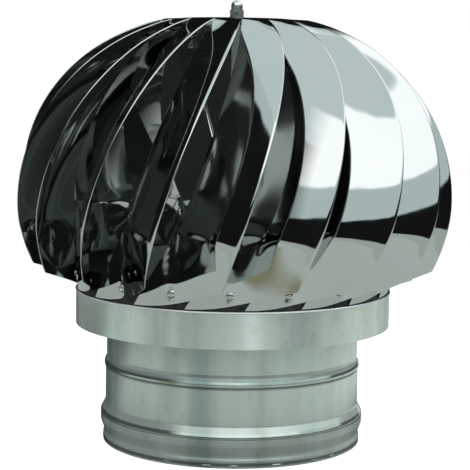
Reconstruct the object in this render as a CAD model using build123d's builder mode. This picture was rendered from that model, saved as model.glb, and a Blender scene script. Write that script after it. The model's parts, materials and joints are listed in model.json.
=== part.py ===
"""Rotary ball cowl for a 200 mm flue: an eighteen-bladed wind turbine on a beaded collar.

Millimetres, +Z up. The origin is on the spin axis at the foot of the collar, and the front
of the cowl faces -Y. Azimuths are measured from the front, positive towards +X.
"""
from build123d import *
from math import acos, asin, cos, degrees, pi, radians, sin
import os

os.makedirs("parts", exist_ok=True)

# ---------------------------------------------------------------- driving dimensions
sheet = 0.5                  # stainless sheet of the rotor
tube_sheet = 0.6             # stainless sheet of the collar

# collar
socket_radius = 102.6        # outside of the flue socket
socket_height = 66.0
socket_foot_radius = 104.4   # rolled foot
socket_bulge_radius = 106.4  # stiffening swage above the foot
socket_bulge_height = 21.0
socket_bead_radius = 103.4   # bead at the mouth of the socket
neck_radius = 101.8          # outside of the neck tube
neck_foot = 58.0
neck_top = 146.0
neck_groove_height = 68.5    # rolled groove just above the socket
foot_groove = 0.8            # groove between the rolled foot and the swage
fold = 0.9                   # outside radius of the rolled folds

# rotor
ball_radius = 175.0          # outer edge of the blades at the equator
equator = 197.3
upper_arc = 143.5            # meridian radius of the blades above the equator
lower_arc = 115.0            # and below it
blade_count = 18
blade_pitch = 360.0 / blade_count
blade_top_radius = 57.0      # where the blades end on the top disc
blade_foot_height = 143.5    # height of the free lower corner of a blade
twist = 0.104                # advance of the outer edge, degrees for each mm of its length
equator_azimuth = -17.3      # azimuth of the first blade's outer edge at the equator
blade_span = 14.0            # angle covered by a blade at the equator
blade_top_span = 18.6        # and on the top disc
blade_inset = 20.0           # the inner edge lies this far inside the outer edge
blade_camber = 2.4           # bow of a blade between its two edges

# foot tab of a blade, wrapped round the rivet band
tab_start = -22.0            # length along the outer edge, from the equator, where it begins
tab_end_azimuth = -39.0      # end of the tab, from the outer edge's azimuth at the equator
tab_end_height = 124.6
tab_wrap = 0.42              # share of the foot that lies flat on the band
tab_reach = 0.8              # share of the tab's height over which it reaches the band

# skirt ring, rivet band and rivets
skirt_radius = 126.8
skirt_foot = 95.5
skirt_top = 122.7
skirt_bead = 0.9             # rolled edge round the skirt's top
lap_azimuth = 37.5           # lap seam of the skirt
lap_width = 9.0
band_radius = 125.5          # joggled inward above the skirt
band_foot = 106.0
band_joggle = 118.0
band_top = 144.0
rivet_azimuth = -23.6        # from the outer edge's azimuth at the equator
rivet_height = 135.3
rivet_hole = 1.65
rivet_head_radius = 3.2
rivet_head_height = 1.3
rivet_shank = 1.6
rivet_tail = 2.4             # radius of the upset end
rivet_crown = 0.6            # flat of the head, as a share of its radius
rivet_seat = 0.55            # the heads sit this far off the tabs
rivet_slack = 0.3            # behind the band, under the upset end
rivet_reach = 4.0            # depth of the rivet holes, either way

# top disc and its fastening
disc_radius = 60.0
disc_sheet = 0.8
disc_rim_drop = 3.4
disc_gap = 0.6               # between the disc and the blades on it
nut_flats = 11.0
nut_hex_height = 5.5
nut_height = 13.2
nut_dome_radius = 4.6
stud_length = 10.0           # of the stud above the disc
stud_hole = 3.1
nut_turn = 30.0
washer_thickness = 1.6
under_washer_radius = 15.0
top_washer_radius = 6.2

# shaft, bearings and their housing
shaft_radius = 4.0
stud_radius = 3.0            # threaded end in the cap nut
shaft_foot = 60.0
bearing_radius = 11.0
bearing_width = 7.0
inner_race = 6.0             # outside radius of the inner race
outer_race = 9.0             # inside radius of the outer race
seal_thickness = 0.5
housing_radius = 14.0
housing_foot = 62.0
housing_top = 134.0
lower_bearing = 67.0         # foot of the lower bearing
upper_bearing = 122.0        # foot of the upper bearing
housing_bore = 9.8           # between the two bearing seats
circlip = 1.0
shaft_groove = 3.6
housing_groove = 11.7
spacer_radius = 5.5

# spiders that hold the housing in the neck
arm_width = 20.0
arm_sheet = 2.5
arm_tab = 16.0
spider_hub_radius = 22.0
lower_spider_height = 76.0
upper_spider_height = 116.0

running_gap = 0.1          # between the seals and the inner races


# ---------------------------------------------------------------- blade geometry
def meridian(length):
    """Radius, height and outward normal of the ball at a length from its equator."""
    arc = upper_arc if length > 0 else lower_arc
    angle = length / arc
    radius = ball_radius - arc + arc * cos(angle)
    height = equator + arc * sin(angle)
    return radius, height, cos(angle), sin(angle)


blade_head = upper_arc * acos((blade_top_radius - ball_radius + upper_arc) / upper_arc)
blade_seat = upper_arc * acos((disc_radius - ball_radius + upper_arc) / upper_arc)
blade_foot = lower_arc * asin((blade_foot_height - equator) / lower_arc)


def blade_point(length, share):
    """Point of a blade's outer face: share 0 is the inner edge and 1 the free outer edge."""
    radius, height, normal_r, normal_z = meridian(length)
    climb = min(max(length, 0) / blade_seat, 1.0)
    inset = blade_inset * (1 - climb**4)
    span = blade_span + (blade_top_span - blade_span) * climb**2
    outer_azimuth = twist * length
    inner_azimuth = outer_azimuth - span
    inner_radius = radius - inset * normal_r
    inner_height = height - inset * normal_z
    wrap, flare, rise = 0.0, 1.0, 1.0
    camber = blade_camber * (1 - climb**6)
    if length < tab_start:
        fall = (tab_start - length) / (tab_start - blade_foot)
        start_radius, start_height, start_r, start_z = meridian(tab_start)
        reach = 1 - (1 - min(1.0, fall / tab_reach))**2
        start_inner = start_radius - blade_inset * start_r
        inner_radius = start_inner + (skirt_radius - start_inner) * reach
        inner_height = start_height - blade_inset * start_z
        inner_height += (tab_end_height - inner_height) * fall
        start_azimuth = twist * tab_start - blade_span
        inner_azimuth = start_azimuth + (tab_end_azimuth - start_azimuth) * fall
        wrap = tab_wrap * fall
        flare = 1.0 + fall
        rise = 1.0 + 1.3 * fall
        camber = blade_camber * (1 - reach)
    spread = max(0.0, (share - wrap) / (1 - wrap))
    bow = camber * 4 * share * (1 - share)
    point_radius = inner_radius + (radius - inner_radius) * spread**flare + bow * normal_r
    point_height = inner_height + (height - inner_height) * share**rise + bow * normal_z
    azimuth = inner_azimuth + (outer_azimuth - inner_azimuth) * share
    return at_azimuth(point_radius, azimuth + equator_azimuth, point_height)


def at_azimuth(radius, azimuth, height):
    """Point at an azimuth measured from the front, positive towards +X."""
    angle = radians(azimuth)
    return Vector(radius * sin(angle), -radius * cos(angle), height)


def blade_skin(first, last, steps, parts=8):
    """Sheet lofted through sections of the blade between two lengths along its outer edge."""
    sections = []
    for step in range(steps + 1):
        length = first + (last - first) * step / steps
        sections.append(Wire([Spline([blade_point(length, i / parts) for i in range(parts + 1)])]))
    return Shell.make_loft(sections).faces()[0]


def radial_plane(azimuth, radius, height):
    """Plane that faces outward at an azimuth."""
    return Plane(at_azimuth(radius, azimuth, height), z_dir=at_azimuth(1, azimuth, 0))


def finish(piece, name):
    """Label a finished piece and write its file."""
    piece.part.label = name
    export_step(piece.part, f"parts/{name}.step")


# ---------------------------------------------------------------- blades
upper_skin = blade_skin(blade_head, tab_start, steps=8)
foot_skin = blade_skin(tab_start, blade_foot, steps=4)
blade_inward = at_azimuth(-1, equator_azimuth - blade_span / 2, 0)
rivet_planes = [radial_plane(rivet_azimuth + equator_azimuth + number * blade_pitch,
                             skirt_radius + rivet_seat, rivet_height) for number in range(blade_count)]

with BuildPart() as blade_form:
    thicken(upper_skin, amount=sheet, normal_override=blade_inward)
    thicken(foot_skin, amount=sheet, normal_override=blade_inward)
    with BuildSketch(rivet_planes[0]):
        Circle(rivet_hole)
    extrude(amount=rivet_reach, both=True, mode=Mode.SUBTRACT)

for number in range(blade_count):
    with BuildPart() as blade:
        add(blade_form.part, rotation=(0, 0, number * blade_pitch))
    finish(blade, f"blade_{number + 1:02d}")

# ---------------------------------------------------------------- skirt ring, band and rivets
skirt_inside = skirt_radius - sheet
with BuildPart() as skirt_ring:
    with BuildSketch(Plane.XZ):
        with Locations((skirt_inside + sheet / 2, (skirt_foot + skirt_top) / 2)):
            Rectangle(sheet, skirt_top - skirt_foot)
        with Locations((skirt_inside + sheet / 2, skirt_top)):
            Circle(skirt_bead)
    revolve(axis=Axis.Z)
    lap_arc = degrees(lap_width / skirt_radius)
    with BuildSketch(Plane.XY.offset(skirt_foot)):
        with BuildLine():
            lap_outside = CenterArc((0, 0), skirt_radius + sheet, lap_azimuth - 90, lap_arc)
            lap_inside = CenterArc((0, 0), skirt_radius, lap_azimuth - 90, lap_arc)
            Line(lap_outside @ 0, lap_inside @ 0)
            Line(lap_outside @ 1, lap_inside @ 1)
        make_face()
    extrude(amount=skirt_top - skirt_foot)
finish(skirt_ring, "skirt_ring")

with BuildPart() as rivet_band:
    with BuildSketch(Plane.XZ):
        with BuildLine():
            Polyline((skirt_inside, band_foot), (skirt_inside, band_joggle),
                     (band_radius, band_joggle + 2), (band_radius, band_top))
            offset(amount=sheet, side=Side.LEFT)
        make_face()
    revolve(axis=Axis.Z)
    for plane in rivet_planes:
        with BuildSketch(plane):
            Circle(rivet_hole)
        extrude(amount=rivet_reach, both=True, mode=Mode.SUBTRACT)
finish(rivet_band, "rivet_band")

rivet_grip = skirt_radius + rivet_seat - band_radius + sheet + rivet_slack
with BuildPart() as rivet:
    with BuildSketch(Plane.XZ):
        with BuildLine():
            Polyline((0, rivet_head_height), (rivet_head_radius * rivet_crown, rivet_head_height),
                     (rivet_head_radius, 0), (rivet_shank, 0), (rivet_shank, -rivet_grip),
                     (rivet_tail, -rivet_grip), (rivet_tail, -rivet_grip - rivet_head_height),
                     (0, -rivet_grip - rivet_head_height), (0, rivet_head_height))
        make_face()
    revolve(axis=Axis.Z)

with BuildPart() as blade_rivets:
    with Locations(*rivet_planes):
        add(rivet.part)
finish(blade_rivets, "blade_rivets")

# ---------------------------------------------------------------- top disc and its fastening
crown_radius = ball_radius - upper_arc      # the disc is flat inside this radius
crown_height = equator + upper_arc - sheet - disc_gap
disc_slope = acos((disc_radius - crown_radius) / upper_arc)
disc_arc = upper_arc - sheet - disc_gap
disc_edge = (crown_radius + disc_arc * cos(disc_slope), equator + disc_arc * sin(disc_slope))
with BuildPart() as top_disc:
    with BuildSketch(Plane.XZ):
        with BuildLine():
            Line((0, crown_height), (crown_radius, crown_height))
            RadiusArc((crown_radius, crown_height), disc_edge, disc_arc)
            Line(disc_edge, (disc_edge[0], disc_edge[1] - disc_rim_drop))
            offset(amount=disc_sheet, side=Side.RIGHT)
        make_face()
    revolve(axis=Axis.Z)
    with Locations((0, 0, crown_height)):
        Hole(stud_hole)
finish(top_disc, "top_disc")

disc_under = crown_height - disc_sheet
with BuildPart() as disc_washer:
    with BuildSketch(Plane.XY.offset(disc_under - washer_thickness)):
        Circle(under_washer_radius)
        Circle(stud_hole, mode=Mode.SUBTRACT)
    extrude(amount=washer_thickness)
finish(disc_washer, "disc_washer")

with BuildPart() as nut_washer:
    with BuildSketch(Plane.XY.offset(crown_height)):
        Circle(top_washer_radius)
        Circle(stud_hole, mode=Mode.SUBTRACT)
    extrude(amount=disc_sheet)
finish(nut_washer, "nut_washer")

nut_seat = crown_height + disc_sheet
with BuildPart() as cap_nut:
    with BuildSketch(Plane.XY.offset(nut_seat)):
        RegularPolygon(nut_flats / 2, side_count=6, major_radius=False, rotation=nut_turn)
    extrude(amount=nut_hex_height)
    with BuildSketch(Plane.XZ):
        with BuildLine():
            dome_foot = nut_seat + nut_hex_height
            dome_shoulder = nut_seat + nut_height - nut_dome_radius
            Line((0, dome_foot), (nut_dome_radius, dome_foot))
            Line((nut_dome_radius, dome_foot), (nut_dome_radius, dome_shoulder))
            CenterArc((0, dome_shoulder), nut_dome_radius, 0, 90)
            Line((0, nut_seat + nut_height), (0, dome_foot))
        make_face()
    revolve(axis=Axis.Z)
    with Locations((0, 0, nut_seat)):
        Cylinder(stud_radius, stud_length - disc_sheet, mode=Mode.SUBTRACT,
                 align=(Align.CENTER, Align.CENTER, Align.MIN))
finish(cap_nut, "cap_nut")

# ---------------------------------------------------------------- shaft and spacer
shaft_shoulder = disc_under - washer_thickness
clip_heights = (lower_bearing - circlip, upper_bearing + bearing_width)
with BuildPart() as shaft:
    with BuildSketch(Plane.XY.offset(shaft_foot)):
        Circle(shaft_radius)
    extrude(amount=shaft_shoulder - shaft_foot)
    with BuildSketch(Plane.XY.offset(shaft_shoulder)):
        Circle(stud_radius)
    extrude(amount=crown_height + stud_length - shaft_shoulder)
    for height in clip_heights:
        with BuildSketch(Plane.XY.offset(height)):
            Circle(2 * shaft_radius)
            Circle(shaft_groove, mode=Mode.SUBTRACT)
        extrude(amount=circlip, mode=Mode.SUBTRACT)
    chamfer(shaft.edges().filter_by(GeomType.CIRCLE).sort_by(Axis.Z)[0], length=shaft_radius / 8)
finish(shaft, "shaft")

with BuildPart() as bearing_spacer:
    with BuildSketch(Plane.XY.offset(lower_bearing + bearing_width)):
        Circle(spacer_radius)
        Circle(shaft_radius, mode=Mode.SUBTRACT)
    extrude(amount=upper_bearing - lower_bearing - bearing_width)
finish(bearing_spacer, "bearing_spacer")

with BuildPart() as shaft_circlips:
    for height in clip_heights:
        with BuildSketch(Plane.XY.offset(height)):
            Circle(inner_race)
            Circle(shaft_groove, mode=Mode.SUBTRACT)
            with Locations((inner_race, 0)):
                Rectangle(2 * inner_race, shaft_radius, mode=Mode.SUBTRACT)
        extrude(amount=circlip)
finish(shaft_circlips, "shaft_circlips")

# ---------------------------------------------------------------- bearings
bearing_rings = (("outer_race", bearing_radius, outer_race), ("inner_race", inner_race, shaft_radius))
for place, foot in (("lower", lower_bearing), ("upper", upper_bearing)):
    for ring_name, outside, inside in bearing_rings:
        with BuildPart() as ring:
            with BuildSketch(Plane.XY.offset(foot)):
                Circle(outside)
                Circle(inside, mode=Mode.SUBTRACT)
            extrude(amount=bearing_width)
        finish(ring, f"{place}_{ring_name}")

    with BuildPart() as seals:
        for seal_foot in (foot, foot + bearing_width - seal_thickness):
            with BuildSketch(Plane.XY.offset(seal_foot)):
                Circle(outer_race)
                Circle(inner_race + running_gap, mode=Mode.SUBTRACT)
            extrude(amount=seal_thickness)
    finish(seals, f"{place}_bearing_seals")

# ---------------------------------------------------------------- bearing housing and circlips
with BuildPart() as bearing_housing:
    with BuildSketch(Plane.XY.offset(housing_foot)):
        Circle(housing_radius)
        Circle(housing_bore, mode=Mode.SUBTRACT)
    extrude(amount=housing_top - housing_foot)
    seat_length = lower_bearing + bearing_width - housing_foot
    with BuildSketch(Plane.XY.offset(housing_foot)):
        Circle(bearing_radius)
    extrude(amount=seat_length, mode=Mode.SUBTRACT)
    with BuildSketch(Plane.XY.offset(upper_bearing)):
        Circle(bearing_radius)
    extrude(amount=housing_top - upper_bearing, mode=Mode.SUBTRACT)
    for height in clip_heights:
        with BuildSketch(Plane.XY.offset(height)):
            Circle(housing_groove)
        extrude(amount=circlip, mode=Mode.SUBTRACT)
finish(bearing_housing, "bearing_housing")

with BuildPart() as housing_circlips:
    for height in clip_heights:
        with BuildSketch(Plane.XY.offset(height)):
            Circle(housing_groove)
            Circle(outer_race, mode=Mode.SUBTRACT)
            with Locations((outer_race, 0)):
                Rectangle(outer_race, shaft_radius, mode=Mode.SUBTRACT)
        extrude(amount=circlip)
finish(housing_circlips, "housing_circlips")

# ---------------------------------------------------------------- spiders
neck_inside = neck_radius - tube_sheet
with BuildSketch() as cross:
    Rectangle(2 * neck_inside, arm_width)
    Rectangle(arm_width, 2 * neck_inside)

for place, height, tab_foot in (
        ("lower", lower_spider_height, lower_spider_height),
        ("upper", upper_spider_height, upper_spider_height + arm_sheet - arm_tab)):
    with BuildPart() as spider:
        with BuildSketch(Plane.XY.offset(height)):
            Circle(neck_inside)
            add(cross.sketch, mode=Mode.INTERSECT)
            Circle(spider_hub_radius)
            Circle(housing_radius, mode=Mode.SUBTRACT)
        extrude(amount=arm_sheet)
        with BuildSketch(Plane.XY.offset(tab_foot)):
            Circle(neck_inside)
            Circle(neck_inside - arm_sheet, mode=Mode.SUBTRACT)
            add(cross.sketch, mode=Mode.INTERSECT)
        extrude(amount=arm_tab)
    finish(spider, f"{place}_spider")

# ---------------------------------------------------------------- collar
with BuildPart() as neck_tube:
    with BuildSketch(Plane.XZ):
        with BuildLine():
            neck_swage = socket_radius - tube_sheet
            FilletPolyline((neck_swage, neck_foot), (neck_swage, socket_height),
                           (neck_radius - tube_sheet, neck_groove_height),
                           (neck_radius, neck_groove_height + 2.5), (neck_radius, neck_top),
                           radius=fold)
            offset(amount=tube_sheet, side=Side.LEFT)
        make_face()
    revolve(axis=Axis.Z)
finish(neck_tube, "neck_tube")

with BuildPart() as flue_socket:
    with BuildSketch(Plane.XZ):
        with BuildLine():
            bulge_half = 4.5
            bulge_slope = 8.0
            bead_half = 2.2
            bead_height = socket_height - bead_half - 1.2
            FilletPolyline(
                (socket_foot_radius, 0),
                (socket_foot_radius, 5.5),
                (socket_foot_radius - foot_groove, 8.5),
                (socket_bulge_radius, socket_bulge_height - bulge_half),
                (socket_bulge_radius, socket_bulge_height + bulge_half),
                (socket_radius, socket_bulge_height + bulge_half + bulge_slope),
                (socket_radius, bead_height - 2 * bead_half),
                (socket_bead_radius, bead_height - bead_half),
                (socket_bead_radius, bead_height + bead_half),
                (socket_radius, socket_height),
                radius=fold)
            offset(amount=tube_sheet, side=Side.LEFT)
        make_face()
        with Locations((socket_foot_radius - tube_sheet, 2.5)):
            Rectangle(2 * tube_sheet, 5.0)
    revolve(axis=Axis.Z)
finish(flue_socket, "flue_socket")
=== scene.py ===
# %% [markdown]
# # A rotary turbine ventilator, dressed for the studio
# The ventilator is a ball of eighteen twisted sheet blades that the wind turns on top of a flue.
# Its frame, with every bearing and bracket, comes from CAD. This lesson gives it the mirror
# polish of the blades, the rolled edges, the rivets and the drawn satin of the collar.

# %% Loading the frame
import bpy
import bmesh
import json
from math import acos, asin, atan2, cos, degrees, inf, pi, radians, sin
from mathutils import Matrix, Vector


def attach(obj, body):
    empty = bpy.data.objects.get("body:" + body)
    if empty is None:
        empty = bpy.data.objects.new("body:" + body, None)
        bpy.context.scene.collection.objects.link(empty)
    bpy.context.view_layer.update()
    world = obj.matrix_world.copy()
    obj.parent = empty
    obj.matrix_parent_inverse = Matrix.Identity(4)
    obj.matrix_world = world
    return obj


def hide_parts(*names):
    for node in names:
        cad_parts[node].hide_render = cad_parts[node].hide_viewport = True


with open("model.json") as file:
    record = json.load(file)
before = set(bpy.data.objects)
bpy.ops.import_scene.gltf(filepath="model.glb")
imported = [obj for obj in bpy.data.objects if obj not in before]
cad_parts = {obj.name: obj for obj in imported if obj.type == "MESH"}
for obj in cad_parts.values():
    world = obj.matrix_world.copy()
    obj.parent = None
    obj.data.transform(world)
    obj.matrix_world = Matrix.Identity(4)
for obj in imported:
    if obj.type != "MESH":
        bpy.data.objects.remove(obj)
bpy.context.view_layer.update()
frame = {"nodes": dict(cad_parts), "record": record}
mm = 0.001

# %% [markdown]
# ## The camera
# A long lens a little above the ball, looking down by seven degrees, keeps the ball round and
# the collar's rims as slim ellipses. The direction is written as a turn, a pitch and a roll,
# and the camera's three axes follow from them.

# %% Camera
scene = bpy.context.scene
scene.view_settings.view_transform = "Standard"
camera_place = Vector((0.0, -1265.4, 315.0)) * mm
turn, pitch, roll = radians(0.051), radians(6.727), radians(0.841)
focal_share = 1574 / 470          # focal length as a share of the picture's width
ahead = Vector((sin(turn) * cos(pitch), cos(turn) * cos(pitch), -sin(pitch)))
level = Vector((cos(turn), -sin(turn), 0))
above = level.cross(ahead)
across = level * cos(roll) + above * sin(roll)
upward = above * cos(roll) - level * sin(roll)
camera_data = bpy.data.cameras.new("studio_camera")
camera_data.sensor_width = 36
camera_data.lens = 36 * focal_share
camera = bpy.data.objects.new("studio_camera", camera_data)
axes = Matrix((across, upward, -ahead)).transposed().to_4x4()
camera.matrix_world = Matrix.Translation(camera_place) @ axes
scene.collection.objects.link(camera)
scene.camera = camera
print("lens", round(camera_data.lens, 1), "mm")

# %% [markdown]
# ## Small helpers
# A piece of this scene is a mesh object at the origin, with its place in its vertices. One
# helper makes it from points and faces, and shades it smooth except along its sharp edges.

# %% Helpers for meshes
def new_piece(name, points, faces, sharp_angle=40):
    """A mesh object at the origin, smooth except across edges sharper than the angle."""
    mesh = bpy.data.meshes.new(name)
    mesh.from_pydata([tuple(p) for p in points], [], faces)
    mesh.update()
    return finish_mesh(name, mesh, sharp_angle)


def finish_mesh(name, mesh, sharp_angle=40):
    """Link a mesh as an object, smooth except across edges sharper than the angle."""
    mesh.shade_smooth()
    mesh.set_sharp_from_angle(angle=radians(sharp_angle))
    piece = bpy.data.objects.new(name, mesh)
    scene.collection.objects.link(piece)
    return piece


def around(radius, azimuth, height):
    """Point at an azimuth in degrees from the front, positive towards +X, in millimetres."""
    angle = radians(azimuth)
    return Vector((radius * sin(angle), -radius * cos(angle), height)) * mm


def outward(piece):
    """Turn every face of a closed mesh outward."""
    mesh = bmesh.new()
    mesh.from_mesh(piece.data)
    bmesh.ops.recalc_face_normals(mesh, faces=mesh.faces)
    mesh.to_mesh(piece.data)
    mesh.free()


def lathe(name, loop, turns=256, sharp_angle=35):
    """Solid of revolution: loop is a closed profile of (radius, height) in millimetres."""
    count = len(loop)
    points = [around(radius, 360 * step / turns, height)
              for step in range(turns) for radius, height in loop]
    faces = []
    for step in range(turns):
        here, there = step * count, (step + 1) % turns * count
        for i in range(count):
            j = (i + 1) % count
            faces.append((here + i, there + i, there + j, here + j))
    piece = new_piece(name, points, faces, sharp_angle)
    outward(piece)
    return piece


def rounded(points, radius, steps=4):
    """Polyline with its corners rounded by short arcs of about the radius."""
    line = [Vector(points[0])]
    for before, corner, after in zip(points, points[1:], points[2:]):
        corner = Vector(corner)
        to_before, to_after = Vector(before) - corner, Vector(after) - corner
        turn_angle = pi - to_before.angle(to_after)
        reach = min(radius * abs(sin(turn_angle / 2) / cos(turn_angle / 2)),
                    to_before.length * 0.45, to_after.length * 0.45)
        start = corner + to_before.normalized() * reach
        end = corner + to_after.normalized() * reach
        for step in range(steps + 1):
            share = step / steps
            line.append(start * (1 - share)**2 + corner * 2 * share * (1 - share)
                        + end * share**2)
    line.append(Vector(points[-1]))
    return [(p.x, p.y) for p in line]


def wall(outline, thickness):
    """Closed profile of a sheet wall from its outer line."""
    return outline + [(radius - thickness, height) for radius, height in reversed(outline)]


# %% [markdown]
# ## Mirror-polished sheet
# Polished stainless has almost no colour of its own: it shows the room. What tells the eye that
# it is a thin sheet is that the mirror is not flat. A slow noise in the bump bends reflections
# the way a hand-formed blade does, and a fine one in the roughness leaves wiping marks. Each
# rivet also pulls the sheet in, so a shallow dimple in the bump lies round it.

# %% Helpers for materials
def start_material(name):
    """New node material: returns it with its node tree and its Principled BSDF."""
    material = bpy.data.materials.new(name)
    material.use_nodes = True
    tree = material.node_tree
    return material, tree, tree.nodes["Principled BSDF"]


def add_node(tree, kind, **settings):
    """Add a node; a setting is an attribute of the node or the name of one of its inputs."""
    node = tree.nodes.new(kind)
    for key, value in settings.items():
        if hasattr(node, key):
            setattr(node, key, value)
        else:
            node.inputs[key.replace("_", " ")].default_value = value
    return node


def feed(tree, value, socket):
    """Link a socket to an input, or write a plain number or an (r, g, b) colour into it."""
    if isinstance(value, (int, float)):
        socket.default_value = value
    elif isinstance(value, tuple):
        socket.default_value = (*value, 1)
    else:
        tree.links.new(value, socket)


def tree_math(tree, operation, first, second=0.0):
    """Math node on sockets or plain numbers; returns its value socket."""
    node = add_node(tree, "ShaderNodeMath", operation=operation)
    feed(tree, first, node.inputs[0])
    feed(tree, second, node.inputs[1])
    return node.outputs[0]


def map_range(tree, value, low, high, first=0.0, last=1.0, interpolation="LINEAR"):
    """Map a value from low..high to first..last; returns the result's socket."""
    node = add_node(tree, "ShaderNodeMapRange", interpolation_type=interpolation)
    for name, number in (("From Min", low), ("From Max", high), ("To Min", first),
                         ("To Max", last)):
        node.inputs[name].default_value = number
    tree.links.new(value, node.inputs["Value"])
    return node.outputs["Result"]


def mix_colours(tree, share, first, second, blend_type="MIX"):
    """Mix two colours, each a socket or (r, g, b); returns the colour's socket."""
    node = add_node(tree, "ShaderNodeMix", data_type="RGBA", blend_type=blend_type)
    feed(tree, share, node.inputs["Factor"])
    feed(tree, first, node.inputs[6])
    feed(tree, second, node.inputs[7])
    return node.outputs[2]


def object_place(tree):
    """Object coordinates: returns the place's own socket and its X, Y and Z."""
    place = add_node(tree, "ShaderNodeTexCoord").outputs["Object"]
    parts = add_node(tree, "ShaderNodeSeparateXYZ")
    tree.links.new(place, parts.inputs[0])
    return place, parts.outputs["X"], parts.outputs["Y"], parts.outputs["Z"]


def turn_round_axis(tree, x, y):
    """Angle round Z in radians: 0 in front, positive towards +X."""
    return tree_math(tree, "ARCTAN2", x, tree_math(tree, "MULTIPLY", y, -1.0))


def object_noise(tree, scale, stretch=(1, 1, 1), detail=2.0):
    """Noise on Object coordinates, stretched along the axes; returns its value socket."""
    place = add_node(tree, "ShaderNodeTexCoord")
    mapping = add_node(tree, "ShaderNodeMapping", Scale=stretch)
    noise = add_node(tree, "ShaderNodeTexNoise", Scale=scale, Detail=detail)
    tree.links.new(place.outputs["Object"], mapping.inputs["Vector"])
    tree.links.new(mapping.outputs["Vector"], noise.inputs["Vector"])
    return noise.outputs["Fac"]


def ramp(tree, value, stops):
    """Colour ramp: stops are (position, (r, g, b)); returns its colour socket."""
    node = add_node(tree, "ShaderNodeValToRGB")
    elements = node.color_ramp.elements
    while len(elements) < len(stops):
        elements.new(0.5)
    for element, (position, colour) in zip(elements, stops):
        element.position = position
        element.color = (*colour, 1)
    tree.links.new(value, node.inputs["Fac"])
    return node.outputs["Color"]


def to_range(tree, noise, low, high):
    """Map a noise value from its useful middle to a range."""
    return map_range(tree, noise, 0.3, 0.7, low, high)


def bump(tree, heights, shader):
    """Chain of bumps on the shader: heights are (socket, depth in metres)."""
    normal = None
    for value, depth in heights:
        node = add_node(tree, "ShaderNodeBump", Distance=depth, Strength=1.0)
        tree.links.new(value, node.inputs["Height"])
        if normal:
            tree.links.new(normal, node.inputs["Normal"])
        normal = node.outputs["Normal"]
    tree.links.new(normal, shader.inputs["Normal"])


# %% Dimples where the rivets pull the sheet in
rivet_height = 135.3 * mm
rivet_ring = 126.5 * mm           # radius at which the rivets sit
rivet_line = radians(-0.9)        # turn of one rivet round the axis, the others a pitch apart
rivet_pitch = radians(20.0)
dimple_radius = 8.0 * mm
dimple_depth = 0.25 * mm


def dimples(tree):
    """Zero at each rivet and one away from it."""
    _, x, y, z = object_place(tree)
    steps = tree_math(tree, "SUBTRACT", turn_round_axis(tree, x, y), rivet_line)
    steps = tree_math(tree, "DIVIDE", steps, rivet_pitch)
    off = tree_math(tree, "SUBTRACT", steps, tree_math(tree, "ROUND", steps))
    across = tree_math(tree, "MULTIPLY", off, rivet_pitch * rivet_ring)
    up = tree_math(tree, "SUBTRACT", z, rivet_height)
    squares = tree_math(tree, "ADD", tree_math(tree, "MULTIPLY", across, across),
                        tree_math(tree, "MULTIPLY", up, up))
    away = tree_math(tree, "SQRT", squares)
    return map_range(tree, away, 0.0, dimple_radius, interpolation="SMOOTHSTEP")


# %% Mirror sheet
def mirror_sheet():
    """Mirror-polished stainless of the blades."""
    material, tree, shader = start_material("mirror_polished_sheet")
    shader.inputs["Metallic"].default_value = 1.0
    tint = ramp(tree, object_noise(tree, 9, detail=3), [(0.3, (0.71, 0.735, 0.73)),
                                                         (0.7, (0.76, 0.775, 0.77))])
    tree.links.new(tint, shader.inputs["Base Color"])
    wiping = to_range(tree, object_noise(tree, 60, (1, 1, 0.25), detail=5), 0.03, 0.07)
    tree.links.new(wiping, shader.inputs["Roughness"])
    bump(tree, [(object_noise(tree, 12, (1, 1, 0.6), detail=1), 0.0006),
                (object_noise(tree, 45, detail=1), 0.00004),
                (dimples(tree), dimple_depth)], shader)
    return material


blade_finish = mirror_sheet()
print("material", blade_finish.name)

# %% [markdown]
# ## One blade
# A real blade is cut flat, twisted, and curled along its free side so that it keeps its shape
# and does not cut the hand. Its outer edge follows the meridian of the ball while it advances
# round it, its inner edge lies forty-five millimetres deeper, and at its foot it turns into a
# tab that wraps the rivet band. The CAD nodes hold a shallower and more bowed blade, so this one
# replaces them: the same kind of rule with a deeper and flatter sheet, sampled finely enough for
# a mirror, and with the curl added.

# %% The blade's rule
sheet = 0.5                                     # lengths in millimetres, angles in degrees
ball_radius, equator = 175.0, 197.3
upper_arc, lower_arc = 143.5, 115.0
blade_count = 18
blade_pitch = 360 / blade_count
blade_top_radius, blade_foot_height = 57.0, 143.5
disc_radius = 60.0
twist = 0.104                                   # degrees for each millimetre of the edge
equator_azimuth = -17.3
blade_span, blade_top_span = 19.0, 20.0
blade_inset, blade_camber = 45.0, 0.6           # depth of the inner edge, and bow
tab_start, tab_end_azimuth, tab_end_height = -22.0, -39.0, 124.6
tab_wrap, tab_reach = 0.42, 0.8
skirt_radius = 126.8


def meridian(length):
    """Radius, height and outward normal of the ball at a length from its equator."""
    arc = upper_arc if length > 0 else lower_arc
    angle = length / arc
    return (ball_radius - arc + arc * cos(angle), equator + arc * sin(angle),
            cos(angle), sin(angle))


blade_head = upper_arc * acos((blade_top_radius - ball_radius + upper_arc) / upper_arc)
blade_seat = upper_arc * acos((disc_radius - ball_radius + upper_arc) / upper_arc)
blade_foot = lower_arc * asin((blade_foot_height - equator) / lower_arc)


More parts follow.
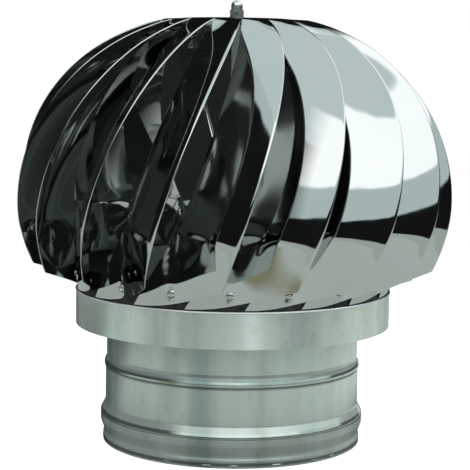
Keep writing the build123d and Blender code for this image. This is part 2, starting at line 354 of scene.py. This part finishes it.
def blade_point(length, share):
    """Point of a blade's outer face: share 0 is the inner edge and 1 the free outer edge."""
    radius, height, normal_r, normal_z = meridian(length)
    climb = min(max(length, 0) / blade_seat, 1.0)
    inset = blade_inset * (1 - climb**2)
    span = blade_span + (blade_top_span - blade_span) * climb**2
    outer_azimuth = twist * length
    inner_azimuth = outer_azimuth - span
    inner_radius = radius - inset * normal_r
    inner_height = height - inset * normal_z
    wrap, flare, rise = 0.0, 1.0, 1.0
    camber = blade_camber * (1 - climb**6)
    if length < tab_start:
        fall = (tab_start - length) / (tab_start - blade_foot)
        start_radius, start_height, start_r, start_z = meridian(tab_start)
        reach = 1 - (1 - min(1.0, fall / tab_reach))**2
        start_inner = start_radius - blade_inset * start_r
        inner_radius = start_inner + (skirt_radius - start_inner) * reach
        inner_height = start_height - blade_inset * start_z
        inner_height += (tab_end_height - inner_height) * fall
        start_azimuth = twist * tab_start - blade_span
        inner_azimuth = start_azimuth + (tab_end_azimuth - start_azimuth) * fall
        wrap = tab_wrap * fall
        flare = 1.0 + fall
        rise = 1.0 + 1.3 * fall
        camber = blade_camber * (1 - reach)
    spread = max(0.0, (share - wrap) / (1 - wrap))
    bow = camber * 4 * share * (1 - share)
    point_radius = inner_radius + (radius - inner_radius) * spread**flare + bow * normal_r
    point_height = inner_height + (height - inner_height) * share**rise + bow * normal_z
    azimuth = inner_azimuth + (outer_azimuth - inner_azimuth) * share
    return around(point_radius, azimuth + equator_azimuth, point_height)


print("blade from", round(blade_foot, 1), "to", round(blade_head, 1), "mm along its edge")

# %% The blade's mesh
roll_radius, roll_turn = 3.5 * mm, radians(30)    # gentle roll along the free side
lip_radius, lip_turn = 0.7 * mm, radians(70)      # and the tight lip that ends it
roll_taper = 26.0              # length over which the roll fades out at either end
rows, columns, roll_steps, lip_steps = 70, 22, 5, 3


def blade_row(length):
    """Points across the blade at a length, with the rolled lip at the free side."""
    fade = min(1.0, (length - blade_foot) / roll_taper, (blade_head - length) / roll_taper)
    roll = roll_turn * max(0.02, fade)
    edge, inner = blade_point(length, 1.0), blade_point(length, 0.0)
    reach = roll_radius * sin(roll) + lip_radius
    last_share = 1 - reach / (edge - inner).length
    row = [blade_point(length, last_share * i / columns) for i in range(columns + 1)]
    along = (row[-1] - row[-2]).normalized()
    step = 0.5                 # millimetres either way, for the direction along the blade
    lengthwise = blade_point(length + step, last_share) - blade_point(length - step, last_share)
    normal = along.cross(lengthwise).normalized()
    if normal.dot(Vector((row[-1].x, row[-1].y, 0))) < 0:
        normal = -normal
    for i in range(1, roll_steps + 1):
        angle = roll * i / roll_steps
        row.append(row[columns] + along * roll_radius * sin(angle)
                   - normal * roll_radius * (1 - cos(angle)))
    lip_start = row[-1]
    for i in range(1, lip_steps + 1):
        angle = roll + lip_turn * i / lip_steps
        row.append(lip_start + along * lip_radius * (sin(angle) - sin(roll))
                   - normal * lip_radius * (cos(roll) - cos(angle)))
    return row


def blade_mesh():
    """One blade as an open sheet of faces, thickened afterwards by a modifier."""
    grid = [blade_row(blade_foot + (blade_head - blade_foot) * i / rows)
            for i in range(rows + 1)]
    across_count = len(grid[0])
    points = [p for row in grid for p in row]
    faces = [(r * across_count + c, r * across_count + c + 1,
              (r + 1) * across_count + c + 1, (r + 1) * across_count + c)
             for r in range(rows) for c in range(across_count - 1)]
    mesh = bpy.data.meshes.new("blade_sheet")
    mesh.from_pydata(points, [], faces)
    mesh.update()
    return mesh


blade_form = bpy.data.objects.new("blade_form", blade_mesh())
scene.collection.objects.link(blade_form)
facing = sum(face.normal.dot(Vector((face.center.x, face.center.y, 0))) * face.area
             for face in blade_form.data.polygons)
if facing < 0:
    blade_form.data.flip_normals()
thicken = blade_form.modifiers.new("thickness", "SOLIDIFY")
thicken.thickness = sheet * mm
thicken.offset = -1
print("one blade has", len(blade_form.data.polygons), "faces before it is thickened")

# %% [markdown]
# ## Eighteen blades with Geometry Nodes
# The ball repeats its blade round the axis, but a workshop bends each one by hand. So the tree
# places instances by index, one pitch apart, and adds a small turn of its own to each from a
# seeded random value. Realize Instances makes them one mesh, which the export needs.

# %% A tree that repeats a piece round the axis
def ring_tree(name, source, material, count, pitch_degrees, wobble_degrees, seed):
    """Node group that places an object's copies round Z and gives them a material."""
    tree = bpy.data.node_groups.new(name, "GeometryNodeTree")
    face = tree.interface
    face.new_socket("Geometry", in_out="INPUT", socket_type="NodeSocketGeometry")
    for label, kind, value in (("Copies", "NodeSocketInt", count),
                               ("Pitch", "NodeSocketFloat", radians(pitch_degrees)),
                               ("Hand variation", "NodeSocketFloat", radians(wobble_degrees)),
                               ("Seed", "NodeSocketInt", seed)):
        face.new_socket(label, in_out="INPUT", socket_type=kind).default_value = value
    face.new_socket("Geometry", in_out="OUTPUT", socket_type="NodeSocketGeometry")
    nodes, link = tree.nodes, tree.links.new
    given, result = nodes.new("NodeGroupInput"), nodes.new("NodeGroupOutput")
    spots = nodes.new("GeometryNodeMeshLine")
    spots.mode = "OFFSET"
    spots.inputs["Offset"].default_value = (0, 0, 0)
    link(given.outputs["Copies"], spots.inputs["Count"])
    index = nodes.new("GeometryNodeInputIndex")
    step = nodes.new("ShaderNodeMath")
    step.operation = "MULTIPLY"
    link(index.outputs[0], step.inputs[0])
    link(given.outputs["Pitch"], step.inputs[1])
    chance = nodes.new("FunctionNodeRandomValue")
    chance.data_type = "FLOAT"
    chance.inputs[2].default_value = -1
    link(given.outputs["Seed"], chance.inputs["Seed"])
    extra = nodes.new("ShaderNodeMath")
    extra.operation = "MULTIPLY_ADD"
    link(chance.outputs[1], extra.inputs[0])
    link(given.outputs["Hand variation"], extra.inputs[1])
    link(step.outputs[0], extra.inputs[2])
    turn_node = nodes.new("ShaderNodeCombineXYZ")
    link(extra.outputs[0], turn_node.inputs["Z"])
    shape = nodes.new("GeometryNodeObjectInfo")
    shape.inputs["Object"].default_value = source
    place = nodes.new("GeometryNodeInstanceOnPoints")
    link(spots.outputs["Mesh"], place.inputs["Points"])
    link(shape.outputs["Geometry"], place.inputs["Instance"])
    link(turn_node.outputs[0], place.inputs["Rotation"])
    real = nodes.new("GeometryNodeRealizeInstances")
    link(place.outputs["Instances"], real.inputs[0])
    paint = nodes.new("GeometryNodeSetMaterial")
    paint.inputs["Material"].default_value = material
    link(real.outputs[0], paint.inputs["Geometry"])
    link(paint.outputs["Geometry"], result.inputs[0])
    return tree


def ring_piece(name, source, material, count, pitch_degrees, wobble_degrees=0.0, seed=1):
    """Plain mesh of an object's copies round Z, made by the ring tree."""
    holder = bpy.data.objects.new(name + "_holder", bpy.data.meshes.new(name + "_holder"))
    scene.collection.objects.link(holder)
    tree = ring_tree(name + "_ring", source, material, count, pitch_degrees,
                     wobble_degrees, seed)
    modifier = holder.modifiers.new("ring", "NODES")
    modifier.node_group = tree
    wanted = {"Copies": count, "Pitch": radians(pitch_degrees),
              "Hand variation": radians(wobble_degrees), "Seed": seed}
    for item in tree.interface.items_tree:
        if item.item_type == "SOCKET" and item.in_out == "INPUT" and item.name in wanted:
            modifier[item.identifier] = wanted[item.name]
    graph = bpy.context.evaluated_depsgraph_get()
    mesh = bpy.data.meshes.new_from_object(holder.evaluated_get(graph))
    holder.modifiers.clear()
    bpy.data.objects.remove(holder)
    bpy.data.objects.remove(source)
    piece = finish_mesh(name, mesh)
    piece.data.name = name
    print(name, "has", len(mesh.polygons), "faces in", count, "copies")
    return piece


# %% The ball of blades
blade_nodes = [f"blade_{number:02d}" for number in range(1, blade_count + 1)]
blades = ring_piece("blades", blade_form, blade_finish, blade_count, blade_pitch,
                    wobble_degrees=0.7, seed=5)
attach(blades, "rotor")
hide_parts(*blade_nodes)

# %% [markdown]
# ## Satin sheet
# The collar is the same steel straight from the rolls: a soft grey-green sheen with long
# vertical streaks, faint stains, and ridges that handling has burnished. Noise stretched along Z
# makes the streaks and a finer one the stains. A mask on the height picks out the ridges, and
# another a band at the skirt's rim bead, painted near white as a painted highlight.

# %% Where the collar's ridges are burnished
ridge_heights = ((1.8, 3.6), (22.5, 26.0), (61.2, 65.2))     # all in millimetres
highlight_rim_heights = ((122.6, 124.2),)                  # height of the skirt's rim bead, where the colour is a painted highlight
ridge_softness = 0.8
collar_height = 150.0


def ridge_mask(tree, heights):
    """One between each pair of heights, and zero on the plain wall."""
    z = object_place(tree)[3]
    stops = []
    for low, high in heights:
        for height, level in ((max(0.0, low - ridge_softness), 0), (low, 1), (high, 1),
                              (high + ridge_softness, 0)):
            stops.append((height / collar_height, (level, level, level)))
    return ramp(tree, map_range(tree, z, 0.0, collar_height * mm), stops)


# %% Satin sheet
stain_share = 0.22
# Near-white colour for the band at the skirt's rim bead: a painted highlight.
painted_highlight_rim = (0.97, 1.0, 1.0)


def satin_sheet():
    """Satin stainless of the collar, with streaks, stains and a painted highlight at the rim
    bead.
    """
    material, tree, shader = start_material("satin_drawn_sheet")
    streaks = object_noise(tree, 15, (1, 1, 0.04), detail=5)
    stains = object_noise(tree, 110, (1, 1, 0.8), detail=8)
    tone = ramp(tree, streaks, [(0.34, (0.36, 0.45, 0.43)), (0.43, (0.56, 0.64, 0.58)),
                                (0.50, (0.60, 0.71, 0.67)), (0.57, (0.70, 0.78, 0.70)),
                                (0.66, (0.86, 0.98, 0.96))])
    stain_tone = ramp(tree, stains, [(0.32, (0.58, 0.56, 0.48)), (0.40, (0.90, 0.90, 0.86)),
                                     (0.47, (1, 1, 1))])
    stained = mix_colours(tree, stain_share, tone, stain_tone, blend_type="MULTIPLY")
    # Painted highlight: the colour turns near white round the height of the skirt's rim bead.
    rim_highlighted = mix_colours(tree, ridge_mask(tree, highlight_rim_heights), stained, painted_highlight_rim)
    tree.links.new(rim_highlighted, shader.inputs["Base Color"])
    rough = to_range(tree, object_noise(tree, 90, (1, 1, 0.1), detail=4), 0.13, 0.21)
    ridges = ridge_mask(tree, ridge_heights)
    for name, plain, polished in (("Metallic", 0.55, 0.88), ("Roughness", rough, 0.09)):
        blend = add_node(tree, "ShaderNodeMix", data_type="FLOAT")
        tree.links.new(ridges, blend.inputs["Factor"])
        feed(tree, plain, blend.inputs[2])
        feed(tree, polished, blend.inputs[3])
        tree.links.new(blend.outputs[0], shader.inputs[name])
    bump(tree, [(object_noise(tree, 16, (1, 1, 0.25), detail=1), 0.0006),
                (object_noise(tree, 240, (1, 1, 0.08), detail=3), 0.00003)], shader)
    return material


collar_finish = satin_sheet()
print("material", collar_finish.name)

# %% [markdown]
# ## The collar
# A beaded socket that slips over the flue, with a rolled foot, a stiffening swage and a bead at
# its mouth, then the narrower neck, and above it the skirt ring that turns with the ball. All
# three are turned profiles, so each is a line swept round the axis.

# %% Socket and neck
tube_sheet = 0.6
swage_line = rounded([(104.4, 0.0), (104.4, 5.5), (103.4, 8.5), (106.4, 16.5), (106.4, 24.0),
                      (102.6, 31.5), (102.6, 46.0)], 4.0, steps=8)
mouth_line = rounded([(102.6, 47.0), (102.6, 59.6), (103.6, 61.7), (103.6, 63.7),
                      (102.7, 66.0)], 1.6, steps=6)
socket_piece = lathe("socket", wall(swage_line + mouth_line, tube_sheet))
neck_line = rounded([(102.0, 58.0), (102.0, 66.0), (101.2, 68.5), (101.8, 71.0),
                     (101.8, 146.0)], 0.9)
neck_piece = lathe("neck", wall(neck_line, tube_sheet))
for piece, node in ((socket_piece, "flue_socket"), (neck_piece, "neck_tube")):
    piece.data.materials.append(collar_finish)
    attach(piece, "base")
    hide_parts(node)
print("collar pieces:", socket_piece.name, neck_piece.name)

# %% Foot roll
foot_loop = [(103.8 + 0.6 * cos(radians(angle)), 1.4 + 1.4 * sin(radians(angle)))
             for angle in range(0, 360, 30)]
waver_height = 0.22 * mm
foot_roll = lathe("foot_roll", foot_loop)
for corner in foot_roll.data.vertices:         # crimped by hand, so the roll wavers
    azimuth = atan2(corner.co.x, -corner.co.y)
    waver = waver_height * (sin(23 * azimuth) + sin(37 * azimuth + 1.3))
    corner.co += Vector((corner.co.x, corner.co.y, 0)).normalized() * waver
foot_roll.data.materials.append(collar_finish)
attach(foot_roll, "base")

# %% Skirt ring
skirt_foot, skirt_middle, skirt_top = 95.5, 108.0, 121.8
bead_radius = 0.9
bead_middle = skirt_radius - sheet / 2
bead = [(bead_middle + bead_radius * sin(radians(angle)),
         skirt_top + bead_radius * (1 - cos(radians(angle)))) for angle in range(20, 345, 25)]
skirt_heights = (skirt_foot, skirt_middle, skirt_top)
skirt_loop = ([(skirt_radius, height) for height in skirt_heights] + bead
              + [(skirt_radius - sheet, height) for height in reversed(skirt_heights)])
skirt_piece = lathe("skirt", skirt_loop)
lap_start, lap_end, lap_rise, lap_top = 37.5, 41.0, 0.5 * mm, 121 * mm
for corner in skirt_piece.data.vertices:      # the lap seam stands proud below the bead
    azimuth = degrees(atan2(corner.co.x, -corner.co.y))
    if lap_start < azimuth < lap_end and corner.co.z < lap_top:
        corner.co += Vector((corner.co.x, corner.co.y, 0)).normalized() * lap_rise
skirt_piece.data.materials.append(collar_finish)
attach(skirt_piece, "rotor")
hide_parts("skirt_ring")
print("skirt has", len(skirt_piece.data.polygons), "faces")

# %% [markdown]
# ## Rivets
# Blind rivets hold the tabs to the band: a low domed head with a small dark hole where the
# mandrel broke off. One is turned on a radial axis at the first blade's tab, and the ring tree
# repeats it.

# %% Rivets
rivet_azimuth = -23.6             # degrees from the blade's edge at the equator
rivet_seat = 0.1                  # millimetres between the tab and the head
rivet_turns = 24


def rivet_mesh():
    """One rivet head standing out of the tab, with its mandrel hole."""
    profile = [(3.2, 0.0), (3.15, 0.35), (2.8, 0.8), (2.2, 1.15), (1.6, 1.3), (1.15, 1.3),
               (1.0, 1.15), (1.0, 0.4), (0.0, 0.4)]
    azimuth = rivet_azimuth + equator_azimuth
    out = around(1000, azimuth, 0)
    side = Vector((0, 0, 1)).cross(out)
    centre = around(skirt_radius + rivet_seat, azimuth, rivet_height / mm)
    points, faces = [], []
    for step in range(rivet_turns):
        angle = 2 * pi * step / rivet_turns
        ray = side * cos(angle) + Vector((0, 0, 1)) * sin(angle)
        points += [centre + (ray * radius + out * rise) * mm for radius, rise in profile[:-1]]
    count = len(profile) - 1
    points += [centre + out * profile[-1][1] * mm, centre]
    hub, heel = len(points) - 2, len(points) - 1
    for step in range(rivet_turns):
        here, there = step * count, (step + 1) % rivet_turns * count
        faces += [(here + i, there + i, there + i + 1, here + i + 1) for i in range(count - 1)]
        faces.append((here + count - 1, there + count - 1, hub))
        faces.append((there, here, heel))
    return points, faces


rivet_form = new_piece("rivet_form", *rivet_mesh())
outward(rivet_form)


def bright_metal(name, low, high, rough_low, rough_high):
    """Plain bright metal with a little colour and roughness variation."""
    material, tree, shader = start_material(name)
    shader.inputs["Metallic"].default_value = 1.0
    tree.links.new(ramp(tree, object_noise(tree, 300, detail=3), [(0.3, low), (0.7, high)]),
                   shader.inputs["Base Color"])
    tree.links.new(to_range(tree, object_noise(tree, 500, detail=4), rough_low, rough_high),
                   shader.inputs["Roughness"])
    bump(tree, [(object_noise(tree, 700, detail=2), 0.00002)], shader)
    return material


rivet_finish = bright_metal("rivet_metal", (0.66, 0.67, 0.66), (0.85, 0.86, 0.85), 0.10, 0.22)
rivets = ring_piece("rivets", rivet_form, rivet_finish, blade_count, blade_pitch)
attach(rivets, "rotor")
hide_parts("blade_rivets")

# %% [markdown]
# ## Metals of the CAD nodes
# The nodes whose shape is right keep it and get a finish: the crown disc, the nut and its
# washers, the rivet band, the shaft, the spiders and the bearings. The band lies in shade behind
# the tabs, so its metal is given a near-black colour: painted shade.

# %% Finishes for the CAD nodes
finishes = {
    "blade_sheet": blade_finish,
    "satin_sheet": collar_finish,
    "rivet_metal": rivet_finish,
    "nut_metal": bright_metal("nut_metal", (0.90, 0.93, 0.93), (0.98, 0.99, 0.99), 0.24, 0.36),
    "plated_steel": bright_metal("zinc_plate", (0.42, 0.43, 0.42), (0.62, 0.63, 0.62), 0.3, 0.5),
    "spring_steel": bright_metal("spring_steel", (0.10, 0.10, 0.10), (0.2, 0.2, 0.2), 0.3, 0.45),
    "bearing_steel": bright_metal("ground_steel", (0.6, 0.6, 0.61), (0.8, 0.8, 0.81), 0.1, 0.2),
}
rubber, rubber_tree, rubber_shader = start_material("seal_rubber")
rubber_tone = ramp(rubber_tree, object_noise(rubber_tree, 400, detail=3),
                   [(0.3, (0.02, 0.02, 0.02)), (0.7, (0.05, 0.05, 0.055))])
rubber_tree.links.new(rubber_tone, rubber_shader.inputs["Base Color"])
rubber_shader.inputs["Roughness"].default_value = 0.6
bump(rubber_tree, [(object_noise(rubber_tree, 900, detail=2), 0.00003)], rubber_shader)
finishes["seal_rubber"] = rubber

for entry in frame["record"]["subparts"]:
    node = frame["nodes"][entry["node"]]
    for place in node.material_slots:
        place.material = finishes[entry["material_slot"]]
# Painted shade: the band's metal is made near black because it lies in shade behind the tabs.
painted_shade_band_finish = bright_metal("painted_shade_band", (0.035, 0.04, 0.04), (0.10, 0.11, 0.11), 0.3, 0.5)
for place in frame["nodes"]["rivet_band"].material_slots:
    place.material = painted_shade_band_finish
print("finished", len(frame["nodes"]), "nodes")

# %% [markdown]
# ## Floor and light
# A mirror shows its surroundings, so they are part of the finish. The ball stands on a pale
# round floor between an unlit hall on its left and a wall of windows on its right. Each side is
# built up like a room, from the heights at which floor, furniture, wall, windows and ceiling
# meet. Only mirror rays see it: the camera sees plain white, and the other rays an even pale
# light.

# %% Tones of the studio
tones = {
    "dark": (0.006, 0.007, 0.007), "ground": (0.40, 0.45, 0.41), "olive": (0.20, 0.20, 0.12),
    "wall": (0.50, 0.60, 0.60), "ceiling": (0.60, 0.70, 0.70), "window": (1.25, 1.30, 1.30)}
print("the studio has", len(tones), "tones")

# %% Floor
floor_radius = 0.85               # all in metres and degrees
floor_colour = (0.60, 0.62, 0.59)
floor_glow = 0.75
painted_shadow_under_ball = (0.18, 0.28)         # where the painted shadow under the ball passes into the pale floor
unlit_from_y, unlit_to_x = (0.0, 0.10), (0.10, 0.20)       # the corner behind and to the left
cloth_left, cloth_right = (-60, -55), (-45, -40)           # turns round the ball
cloth_near, cloth_far = (0.20, 0.25), (0.60, 0.70)         # distances from it
floor_mesh = bpy.data.meshes.new("floor")
floor_tool = bmesh.new()
bmesh.ops.create_circle(floor_tool, cap_ends=True, radius=floor_radius, segments=96)
floor_tool.to_mesh(floor_mesh)
floor_tool.free()
floor = bpy.data.objects.new("floor", floor_mesh)
scene.collection.objects.link(floor)
floor_finish, floor_tree, floor_shader = start_material("pale_floor")
floor_shader.inputs["Roughness"].default_value = 0.9
print("floor radius", floor_radius, "m")

# %% What a mirror sees of the floor
spot, floor_x, floor_y, _ = object_place(floor_tree)
reach = add_node(floor_tree, "ShaderNodeVectorMath", operation="LENGTH")
floor_tree.links.new(spot, reach.inputs[0])
reach = reach.outputs["Value"]
# Painted shadow, seen only by mirror rays: the floor is dark under the ball and pale further
# out.
painted_shadow_tone = ramp(floor_tree, reach, [(painted_shadow_under_ball[0], tones["dark"]),
                                     (painted_shadow_under_ball[1], tones["ground"]), (1.0, tones["ground"])])
unlit = tree_math(floor_tree, "MULTIPLY", map_range(floor_tree, floor_y, *unlit_from_y),
                  map_range(floor_tree, floor_x, *unlit_to_x, 1.0, 0.0))
ground_tone = mix_colours(floor_tree, unlit, painted_shadow_tone, tones["dark"])
cloth_turn = turn_round_axis(floor_tree, floor_x, floor_y)
cloth_share = 1.0
for value, edge in ((cloth_turn, (*map(radians, cloth_left), 0.0, 1.0)),
                    (cloth_turn, (*map(radians, cloth_right), 1.0, 0.0)),
                    (reach, (*cloth_near, 0.0, 1.0)), (reach, (*cloth_far, 1.0, 0.0))):
    cloth_share = tree_math(floor_tree, "MULTIPLY", cloth_share,
                            map_range(floor_tree, value, *edge))
patched = mix_colours(floor_tree, cloth_share, ground_tone, tones["olive"])
seen = add_node(floor_tree, "ShaderNodeLightPath")
mirrored = mix_colours(floor_tree, seen.outputs["Is Glossy Ray"], floor_colour, patched)
floor_tree.links.new(mirrored, floor_shader.inputs["Base Color"])

# %% What the camera sees of the floor
glow = add_node(floor_tree, "ShaderNodeEmission", Strength=floor_glow)
plus = add_node(floor_tree, "ShaderNodeAddShader")
choose = add_node(floor_tree, "ShaderNodeMixShader")
floor_out = floor_tree.nodes["Material Output"]
for source, target in ((floor_shader.outputs[0], plus.inputs[0]),
                       (glow.outputs[0], plus.inputs[1]),
                       (seen.outputs["Is Camera Ray"], choose.inputs[0]),
                       (floor_shader.outputs[0], choose.inputs[1]),
                       (plus.outputs[0], choose.inputs[2]),
                       (choose.outputs[0], floor_out.inputs["Surface"])):
    floor_tree.links.new(source, target)
floor_mesh.materials.append(floor_finish)
print("the floor has", len(floor_tree.nodes), "nodes")

# %% The room
world = bpy.data.worlds.new("studio")
world.use_nodes = True
scene.world = world
room = world.node_tree
room.nodes.clear()
way = add_node(room, "ShaderNodeTexCoord")
parts = add_node(room, "ShaderNodeSeparateXYZ")
room.links.new(way.outputs["Generated"], parts.inputs[0])
even_light = (0.95, 0.96, 0.97)
bend, bend_lift = 0.10, 0.3       # how far the room's lines waver, sideways and upward
warp = add_node(room, "ShaderNodeTexNoise", Scale=3.0, Detail=2.0)
room.links.new(way.outputs["Generated"], warp.inputs["Vector"])
wander = tree_math(room, "SUBTRACT", warp.outputs["Fac"], 0.5)
wander = tree_math(room, "MULTIPLY", wander, bend)
lift = tree_math(room, "ADD", tree_math(room, "MULTIPLY", parts.outputs["Z"], 0.5), 0.5)
lift = tree_math(room, "ADD", lift, tree_math(room, "MULTIPLY", wander, bend_lift))
heading = turn_round_axis(room, parts.outputs["X"], parts.outputs["Y"])
heading = tree_math(room, "ADD", heading, wander)
edge_softness = 0.003


def storeys(wall_distance, *edges):
    """One side of the room from the ground up: pairs of a tone and the height it ends at."""
    stops, low = [], 0.0
    for tone, height in edges:
        high = (sin(atan2(height, wall_distance)) + 1) / 2
        stops += [(low + edge_softness, tones[tone]), (high - edge_softness, tones[tone])]
        low = high
    return ramp(room, lift, stops)


def blend_by_heading(first, second, start_degrees, end_degrees):
    """Pass from one side of the room to the next between two headings."""
    share = map_range(room, heading, radians(start_degrees), radians(end_degrees))
    return mix_colours(room, share, first, second)


# %% Two sides: an unlit hall, and a wall of windows
hall = storeys(5.0, ("ground", -0.4), ("dark", 5.0), ("wall", 6.0), ("ceiling", inf))
windows = storeys(3.0, ("ground", -0.3), ("dark", 0.8), ("wall", 1.7), ("window", 5.0),
                  ("ceiling", inf))
mirror_view = blend_by_heading(hall, windows, -60, -40)
mirror_view = blend_by_heading(mirror_view, hall, 145, 165)
rays = add_node(room, "ShaderNodeLightPath")
view = mix_colours(room, rays.outputs["Is Glossy Ray"], even_light, mirror_view)
view = mix_colours(room, rays.outputs["Is Camera Ray"], view, (1.0, 1.0, 1.0))
sky = add_node(room, "ShaderNodeBackground", Strength=1.0)
room.links.new(view, sky.inputs["Color"])
world_out = add_node(room, "ShaderNodeOutputWorld")
room.links.new(sky.outputs[0], world_out.inputs["Surface"])
print("room has", len(room.nodes), "nodes")

# %% Lamp
lamp_data = bpy.data.lights.new("soft_lamp", "AREA")
lamp_data.energy = 10
lamp_data.size = 1.4
lamp = bpy.data.objects.new("soft_lamp", lamp_data)
lamp.location = (0.9, -0.7, 1.9)
lamp.rotation_euler = (Vector((0, 0, 0.2)) - lamp.location).to_track_quat("-Z", "Y").to_euler()
scene.collection.objects.link(lamp)
lamp.visible_glossy = False       # the mirror shows the room, not the lamp
print("lamp", lamp_data.energy, "W")
